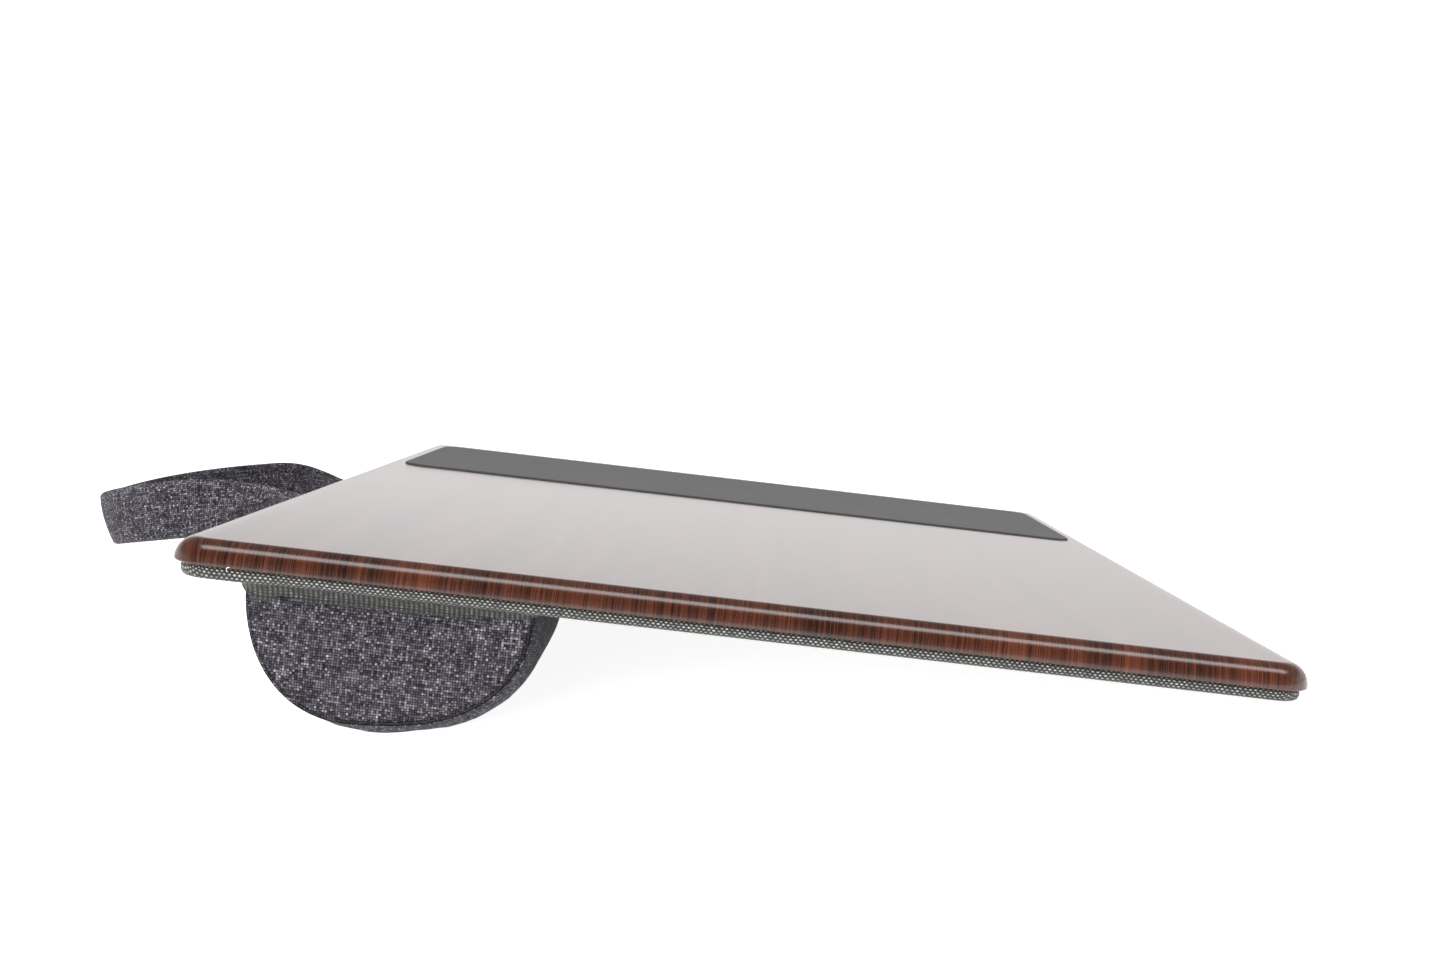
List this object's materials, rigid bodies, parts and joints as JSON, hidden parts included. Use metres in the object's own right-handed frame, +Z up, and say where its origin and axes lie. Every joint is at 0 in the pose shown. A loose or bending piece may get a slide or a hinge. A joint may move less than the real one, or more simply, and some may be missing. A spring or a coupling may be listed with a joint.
{
  "type": "lap desk",
  "caption": "Lap desk: flat board with a rounded edge and an inlaid mouse pad, on a fabric-covered panel, raised at the rear by a stuffed bolster, with a fabric carry handle.",
  "frame": {"origin": "centre of the bounding box in X and Y, at its bottom: the table that the desk rests on", "axes": "+X along the desk's long side towards the mouse pad, +Y to the rear, where the bolster and the handle are, +Z up from the table"},
  "size_m": [0.55, 0.4472, 0.0704],
  "materials": {
    "wood_grain_film": "wood-grain film over fibreboard, reddish brown with near-black streaks along the long side, satin gloss",
    "mouse_surface": "dark grey mouse pad, matt with a slight sheen",
    "hardboard": "bare brown hardboard",
    "coarse_fabric": "coarse grey-green basket weave with pale dots",
    "heather_fabric": "dark slate heather plain weave with pale slub threads",
    "foam_filling": "soft off-white foam",
    "strap_webbing": "grey woven webbing",
    "staple_steel": "galvanised wire"
  },
  "bodies": {
    "root": {"top_board": "wood_grain_film", "mouse_pad": "mouse_surface", "backing_panel": "hardboard", "underside_cover": "coarse_fabric", "bolster_wrap": "heather_fabric", "bolster_end_left": "heather_fabric", "bolster_end_right": "heather_fabric", "bolster_filling": "foam_filling", "handle_sleeve": "heather_fabric", "handle_webbing": "strap_webbing", "strap_staple_left_1": "staple_steel", "strap_staple_left_2": "staple_steel", "strap_staple_right_1": "staple_steel", "strap_staple_right_2": "staple_steel"}
  },
  "joints": []
}
